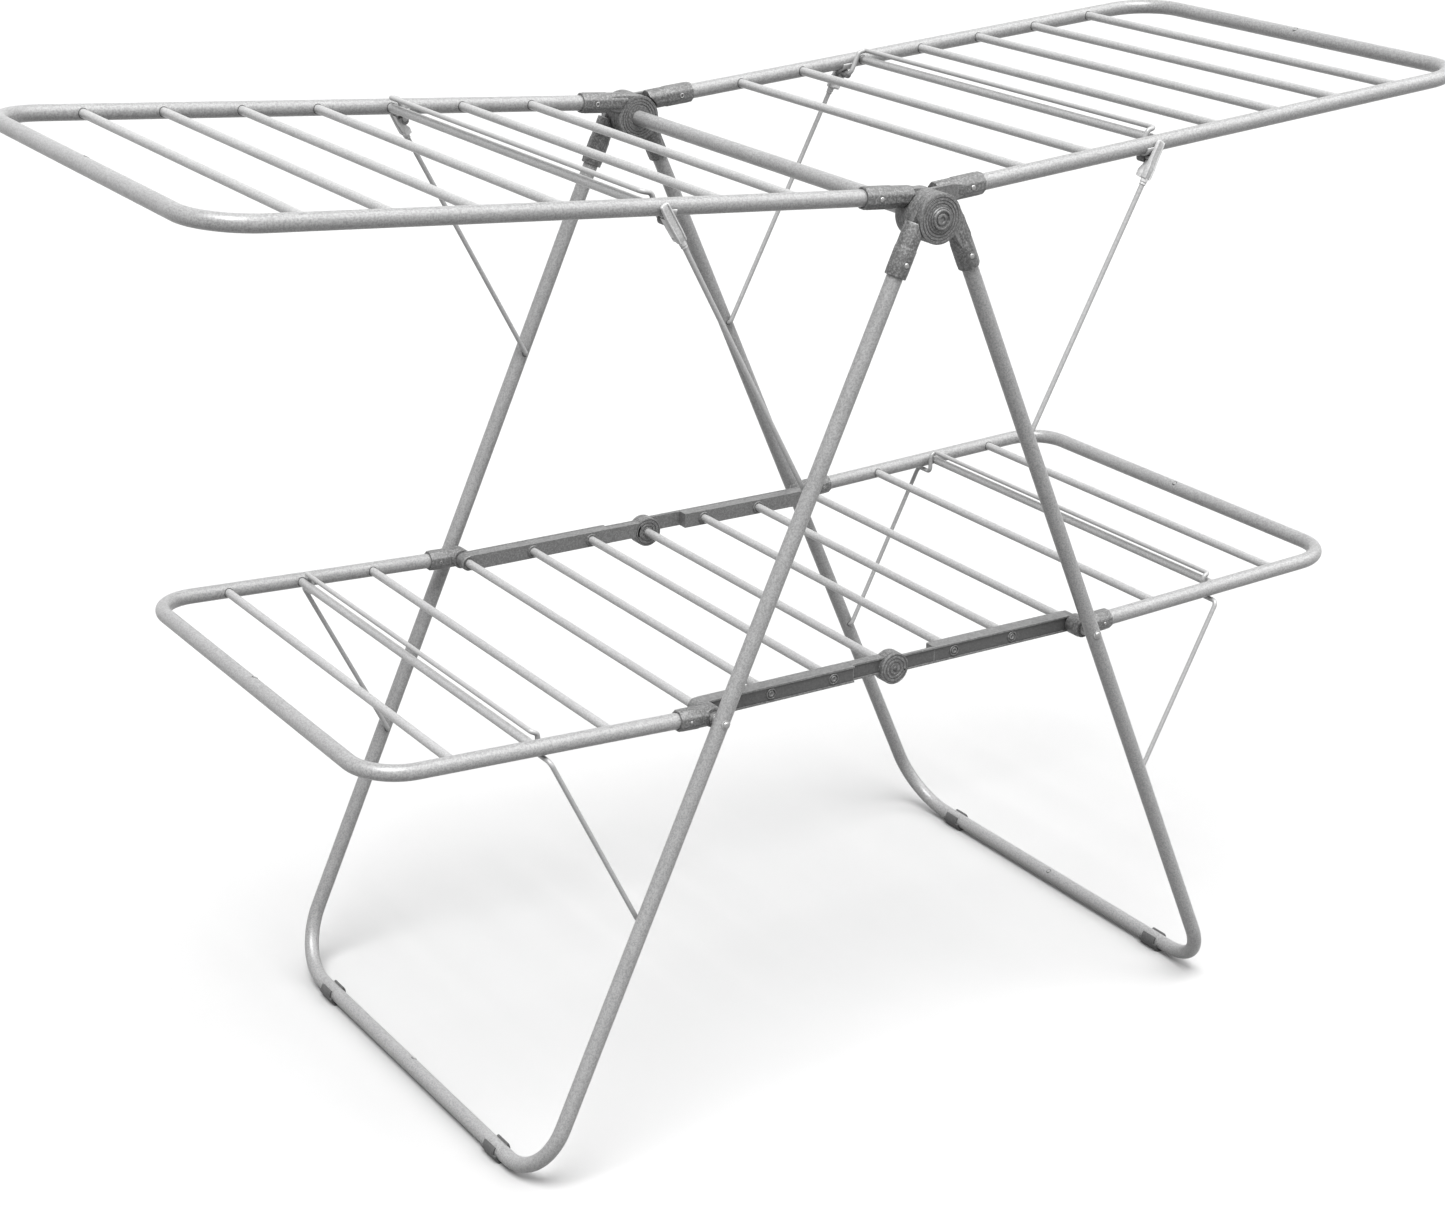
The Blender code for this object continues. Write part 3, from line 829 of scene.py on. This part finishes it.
def centre_bars():
    for side_name, side in SIDES:
        body = side_name + "_centre_arms"
        for index, x in enumerate(ARM_BARS):
            name = f"centre_bar_{side_name}_{index + 1}"
            straight_bar(
                "centre_crossbar_" + name[11:], body, side * x, PIVOT_Z, 0.2440, BAR, name
            )
        shape = Shape()
        path = divided(
            [Vector((side * PIVOT_X, -0.2885, PIVOT_Z)), Vector((side * PIVOT_X, 0.2885, PIVOT_Z))], 0.06
        )
        shape.skin(swept_rings(path, BAR_RADIUS, 32))
        for end in (-1, 1):
            outward = Vector((0, end, 0))
            head = [
                (0.0030, -0.0015), (0.0034, 0.0002), (0.0033, 0.0009), (0.0026, 0.0016), (0.0014, 0.0020),
                (0.0004, 0.0021)
            ]
            turned(shape, Vector((side * PIVOT_X, end * 0.2882, PIVOT_Z)), outward, head, 40, 1)
            long = 0.2738 - TEE_END - 0.0003
            spacer = [
                (0.0047, 0.0), (0.0064, 0.0), (0.0067, 0.0003), (0.0067, long * 0.45),
                (0.0060, long * 0.5)
            ]
            spacer += [(0.0060, long - 0.0003), (0.0057, long), (0.0047, long)]
            turned(
                shape, Vector((side * PIVOT_X, end * (TEE_END + 0.0003), PIVOT_Z)), outward, spacer, 40, 1
            )
        shape.piece(
            "pivot_crossbar_" + side_name, pivot_body(side_name), [BAR, RIVET],
            ["pivot_bar_" + side_name]
        )
    straight_bar(
        "centre_crossbar_middle", "left_centre_arms", 0.0, CENTRE_Z, ARM_SPLIT - 0.0006, BAR,
        "centre_bar_middle"
    )


def pivot_body(side_name):
    """The body that the record gives this pivot bar to."""
    for body, members in frame["record"]["behaviour"]["bodies"].items():
        if "pivot_bar_" + side_name in members:
            return body
    raise KeyError(side_name)


# ---------------------------------------------------------------- braces, clips and feet


def brace_knees(tier, side):
    """The knees of a brace; the left top one rests a little further out along its rails."""
    if tier == "lower":
        return LOWER_BRACE
    return LEFT_TOP_BRACE if side < 0 else TOP_BRACE


def brace_run(tier, side):
    """The lower knee of a brace and the direction down its straight part, in the rack's middle plane."""
    hole_z = TOP_HOLE_Z if tier == "top" else LOWER_HOLE_Z
    knees = brace_knees(tier, side)
    foot_at = Vector((side * leg_point(1, leg_along(hole_z), 0.0).x, 0, hole_z))
    knee = Vector((side * knees[0][0], 0, knees[0][1]))
    return knee, (foot_at - knee).normalized(), foot_at


def brace_path(tier, side):
    """Out of the leg, up beside the rail, in under the rail, and across on top of the bars."""
    knees = brace_knees(tier, side)
    knee, _, foot_at = brace_run(tier, side)
    half = [foot_at + Vector((0, -0.2765, 0)), foot_at + Vector((0, -BRACE_OUTER_Y, 0))]
    half.append(knee + Vector((0, -BRACE_OUTER_Y, 0)))
    half += [Vector((side * x, -BRACE_Y, z)) for x, z in knees]
    other = [Vector((point.x, -point.y, point.z)) for point in reversed(half)]
    return half + other


def brace(tier, side_name, side):
    path = divided(bent_path(brace_path(tier, side), 0.0055), 0.05)
    shape = Shape()
    shape.skin(swept_rings(path, WIRE_RADIUS, 24))
    name = f"{tier}_{side_name}"
    shape.piece("wire_brace_" + name, f"{side_name}_{tier}_brace", [WIRE], ["brace_" + name])


def rounded_section(centre, wide_axis, thick_axis, half_wide, half_thick, count=28):
    ring = []
    for step in range(count):
        angle = 2 * math.pi * step / count
        c, s = math.cos(angle), math.sin(angle)
        across = math.copysign(abs(c) ** 0.45, c)
        deep = math.copysign(abs(s) ** 0.45, s)
        ring.append(centre + wide_axis * half_wide * across + thick_axis * half_thick * deep)
    return ring


CLIP_BOSS_Y = 0.2485
CLIP_BOSS = [(0.0034, 0.0), (0.0042, 0.0006), (0.0042, 0.0100), (0.0036, 0.0108)]
# along the wire, distance from the middle plane, half width, half thickness
OUTER_FINGER = (
    (-0.0192, 0.2689, 0.0022, 0.0008), (-0.0188, 0.2689, 0.0034, 0.0013), (-0.0178, 0.2689, 0.0042, 0.0017),
    (-0.0140, 0.2689, 0.0046, 0.0018), (-0.0040, 0.2689, 0.0047, 0.0019), (0.0040, 0.2690, 0.0047, 0.0024),
    (0.0100, 0.2691, 0.0046, 0.0032), (0.0195, 0.2691, 0.0044, 0.0034), (0.0202, 0.2691, 0.0040, 0.0030),
)


def wing_clip(side_name, side, end_name, end):
    """The plastic clip of a brace wire: a ribbed finger outside the rail, a prong and a boss inside."""
    knee, run, _ = brace_run("top", side)
    outboard = Vector((-run.z * side, 0, run.x * side)) * side
    outboard = outboard if outboard.x * side > 0 else -outboard
    outward = Vector((0, end, 0))
    shape = Shape()
    rings = []
    for along, y, half_wide, half_thick in OUTER_FINGER:
        rings.append(
            rounded_section(knee + run * along + outward * y, outboard, outward, half_wide, half_thick)
        )
    shape.skin(rings)
    for edge in (-1, 1):
        path = []
        for along, y, half_wide, half_thick in OUTER_FINGER[2:]:
            rib = knee + run * (along - 0.0006) + outward * (y + half_thick) + outboard * edge * (
                half_wide - 0.0010
            )
            path.append(rib)
        shape.skin(swept_rings(path, 0.0009, 12))
    prong = (
        (0.0195, -0.0036), (0.0195, 0.0030), (0.0060, 0.0040), (-0.0050, 0.0042), (-0.0050, 0.0006),
        (0.0060, -0.0006), (0.0140, -0.0040),
    )
    outline = [knee + run * along + outboard * aside for along, aside in prong]
    low_y, high_y = sorted((end * 0.2580, end * 0.2672))
    slab(shape, [(point.x, point.z) for point in outline], low_y, high_y, 0.0008)
    heel = ((0.0168, -0.0040), (0.0198, -0.0038), (0.0198, 0.0036), (0.0168, 0.0038))
    outline = [knee + run * along + outboard * aside for along, aside in heel]
    low_y, high_y = sorted((end * 0.2600, end * 0.2722))
    slab(shape, [(point.x, point.z) for point in outline], low_y, high_y, 0.0006)
    ferrule = [knee + run * at + outward * BRACE_OUTER_Y for at in (0.0198, 0.0236, 0.0242, 0.0262, 0.0268)]
    shape.skin(swept_rings(ferrule, lambda index: (0.0035, 0.0035, 0.0030, 0.0033, 0.0027)[index], 28))
    turned(shape, knee + run * 0.0010 + outward * CLIP_BOSS_Y, outward, CLIP_BOSS, 40, 1)
    clip_saddle(shape, side, end, knee.x)
    name = f"{side_name}_{end_name}"
    shape.piece(
        "brace_clip_" + name, side_name + "_top_wing", [CLIP, HUB], ["clip_" + name]
    )


def clip_saddle(shape, side, end, knee_x):
    """The thin half ring that seats a clip on the underside of its rail."""
    middle = abs(knee_x) / math.cos(WING_RISE)
    rings = []
    for along, outer in ((-0.0052, 0.0091), (-0.0044, 0.0098), (0.0052, 0.0098), (0.0060, 0.0091)):
        ring = []
        for radius, angles in ((outer, range(0, 25)), (TUBE_RADIUS + 0.0001, range(24, -1, -1))):
            for step in angles:
                angle = math.radians(-172 + 164 * step / 24)
                aside = radius * math.sin(angle)
                ring.append(
                    wing_point(side, middle + along, end * WING_Y + radius * math.cos(angle), aside)
                )
        rings.append(ring)
    shape.skin(rings)


def cradle_rings(rail, low_y, high_y, low_angle, high_angle, outer, inner, edge=0.0012, steps=28):
    """Rings along Y of an arc-shaped strip round a floor rail, thinned at both ends."""
    rings = []
    for y, shrink in ((low_y, edge), (low_y + edge * 0.8, 0.0), (high_y - edge * 0.8, 0.0), (high_y, edge)):
        ring = []
        for step in range(steps + 1):
            angle = low_angle + (high_angle - low_angle) * step / steps
            radius = outer - shrink * 0.8
            ring.append(
                Vector((rail.x + radius * math.cos(angle), y, max(rail.z + radius * math.sin(angle), 0.0)))
            )
        for step in range(steps, -1, -1):
            angle = low_angle + (high_angle - low_angle) * step / steps
            ring.append(Vector((rail.x + inner * math.cos(angle), y, rail.z + inner * math.sin(angle))))
        rings.append(ring)
    return rings


def foot(side_name, side, end_name, end):
    rail = leg_point(side, LEG_END, 0.0)
    inner, outer = TUBE_RADIUS + 0.0001, TUBE_RADIUS + 0.0024
    middle = end * FOOT_Y
    shape = Shape()
    shape.skin(
        cradle_rings(
            rail, middle - FOOT_HALF, middle + FOOT_HALF, math.radians(-172), math.radians(-8), outer,
            inner
        )
    )
    shape.skin(
        cradle_rings(
            rail, middle - FOOT_LIP_HALF, middle + FOOT_LIP_HALF, math.radians(-222), math.radians(42),
            outer + 0.0003, inner
        )
    )
    sole = [
        (rail.x - 0.0068, 0.0012), (rail.x - 0.0056, 0.0), (rail.x + 0.0056, 0.0),
        (rail.x + 0.0068, 0.0012), (rail.x + 0.0060, 0.0040), (rail.x - 0.0060, 0.0040)
    ]
    slab(shape, sole, middle - FOOT_HALF + 0.0004, middle + FOOT_HALF - 0.0004, 0.0006)
    name = f"{side_name}_{end_name}"
    shape.piece("rail_foot_" + name, side_name + "_legs", [FOOT], ["foot_" + name])


# ---------------------------------------------------------------- stage


FLOOR_GREYS = (0.224, 0.231)
SKY_STRENGTH = 1.3
# name, degrees round from the front, degrees up, strength, and how wide the light is in degrees
SUNS = (("key", -40, 66, 9.2, 34), ("fill", 58, 52, 3.5, 60))


def floor_and_light():
    bpy.ops.mesh.primitive_plane_add(size=60, location=(0, 0, -0.0002))
    floor = bpy.context.object
    floor.name = "studio_floor"
    material, tree, shader = nodes_of("floor_white")
    place = tree.nodes.new("ShaderNodeTexCoord").outputs["Object"]
    cloud = ranged(tree, noise(tree, place, 2.0), 0.3, 0.7, 0.0, 1.0)
    colour = blended(tree, cloud, grey(FLOOR_GREYS[0]), grey(FLOOR_GREYS[1]))
    tree.links.new(colour, shader.inputs["Base Color"])
    shader.inputs["Roughness"].default_value = 0.9
    shader.inputs["Specular IOR Level"].default_value = 0.1
    floor.data.materials.append(material)
    world = bpy.data.worlds.new("studio")
    bpy.context.scene.world = world
    world.use_nodes = True
    world.node_tree.nodes["Background"].inputs["Color"].default_value = (1, 1, 1, 1)
    world.node_tree.nodes["Background"].inputs["Strength"].default_value = SKY_STRENGTH
    for name, azimuth, elevation, strength, spread in SUNS:
        lamp = bpy.data.lights.new(name, "SUN")
        lamp.energy = strength
        lamp.angle = math.radians(spread)
        obj = bpy.data.objects.new(name, lamp)
        bpy.context.scene.collection.objects.link(obj)
        heading, rise = math.radians(azimuth), math.radians(elevation)
        source = Vector(
            (math.sin(heading) * math.cos(rise), -math.cos(heading) * math.cos(rise), math.sin(rise))
        )
        obj.rotation_euler = source.to_track_quat("Z", "Y").to_euler()


def camera():
    yaw, pitch, roll = (math.radians(value) for value in (CAMERA_YAW, CAMERA_PITCH, CAMERA_ROLL))
    forward = Vector((math.sin(yaw) * math.cos(pitch), math.cos(yaw) * math.cos(pitch), -math.sin(pitch)))
    right = Vector((math.cos(yaw), -math.sin(yaw), 0))
    up = right.cross(forward)
    right_rolled = right * math.cos(roll) + up * math.sin(roll)
    up_rolled = up * math.cos(roll) - right * math.sin(roll)
    data = bpy.data.cameras.new("camera")
    data.sensor_width = 36
    data.lens = CAMERA_LENS
    data.shift_x, data.shift_y = CAMERA_SHIFT
    data.clip_end = 100
    obj = bpy.data.objects.new("camera", data)
    bpy.context.scene.collection.objects.link(obj)
    turn = Matrix((right_rolled, up_rolled, -forward)).transposed().to_4x4()
    obj.matrix_world = Matrix.Translation(CAMERA_PLACE) @ turn
    bpy.context.scene.camera = obj
    bpy.context.scene.view_settings.view_transform = "Standard"


camera()
floor_and_light()
hub_axle()
centre_bars()
for side_name, side in SIDES:
    leg_frame(side_name, side)
    wing_frame("top", side_name, side)
    wing_frame("lower", side_name, side)
    brace("top", side_name, side)
    brace("lower", side_name, side)
    for end_name, end in ENDS:
        hub_socket("leg", side_name, side, end_name, end)
        hub_socket("wing", side_name, side, end_name, end)
        connector(side_name, side, end_name, end)
        centre_arm(side_name, side, end_name, end)
        wing_clip(side_name, side, end_name, end)
        foot(side_name, side, end_name, end)
